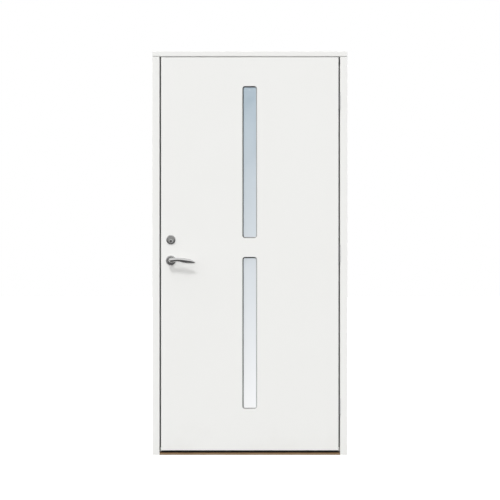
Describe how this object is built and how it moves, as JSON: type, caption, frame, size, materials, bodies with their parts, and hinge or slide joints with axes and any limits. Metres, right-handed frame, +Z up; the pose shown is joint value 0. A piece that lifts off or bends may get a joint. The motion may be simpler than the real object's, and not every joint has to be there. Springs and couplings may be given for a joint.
{
  "type": "exterior door",
  "caption": "White flush exterior door in a rebated frame: outward-opening leaf with narrow stacked windows, lever handle, round lock cylinder and oak threshold.",
  "frame": {"origin": "middle of the frame's width and depth, on the bottom face of the threshold", "axes": "+X to the right seen from outside, +Y into the building, +Z up"},
  "size_m": [1.008, 0.1814, 2.088],
  "materials": {
    "painted_wood": "white satin paint on timber",
    "painted_board": "white satin paint on board",
    "oak": "oiled oak",
    "seal_rubber": "black rubber",
    "gasket_rubber": "grey glazing rubber",
    "core": "light rigid filling",
    "glass": "satin glass",
    "spacer": "mill finish",
    "zinc_steel": "zinc plated",
    "dark_steel": "grey coated steel",
    "satin_steel": "satin",
    "chrome": "polished"
  },
  "bodies": {
    "frame": {"head": "painted_wood", "lock_jamb": "painted_wood", "hinge_jamb": "painted_wood", "threshold": "oak", "head_seal": "seal_rubber", "lock_jamb_seal": "seal_rubber", "hinge_jamb_seal": "seal_rubber", "threshold_seal": "seal_rubber", "strike_plate": "zinc_steel", "hinge_frame_plates": "dark_steel"},
    "leaf": {"hinge_leaf_plates": "dark_steel", "outer_facing": "painted_board", "inner_facing": "painted_board", "lock_stile": "painted_wood", "hinge_stile": "painted_wood", "top_rail": "painted_wood", "bottom_rail": "painted_wood", "insulation_core": "core", "lock_forend": "zinc_steel", "latch_bolt": "zinc_steel", "dead_bolt": "zinc_steel", "outer_rosette": "chrome", "inner_rosette": "chrome", "outer_escutcheon": "satin_steel", "inner_escutcheon": "satin_steel", "outer_cylinder": "satin_steel", "inner_cylinder": "satin_steel", "outer_key_plug": "satin_steel", "inner_key_plug": "satin_steel", "upper_outer_pane": "glass", "upper_outer_gasket": "gasket_rubber", "upper_inner_pane": "glass", "upper_inner_gasket": "gasket_rubber", "upper_spacer": "spacer", "lower_outer_pane": "glass", "lower_outer_gasket": "gasket_rubber", "lower_inner_pane": "glass", "lower_inner_gasket": "gasket_rubber", "lower_spacer": "spacer"},
    "lever": {"outer_lever": "chrome", "inner_lever": "chrome", "spindle": "zinc_steel"}
  },
  "joints": [
    {"name": "leaf_swing", "type": "hinge", "parent": "frame", "child": "leaf", "pos_m": [0.46275, -0.0525, 1.03975], "axis": [0, 0, 1], "range_deg": [0, 110]},
    {"name": "lever_turn", "type": "hinge", "parent": "leaf", "child": "lever", "pos_m": [-0.408, -0.0215, 1.006], "axis": [0, 1, 0], "range_deg": [0, 45], "stiffness_Nm_per_rad": 1.2, "springref_deg": -28.65}
  ]
}
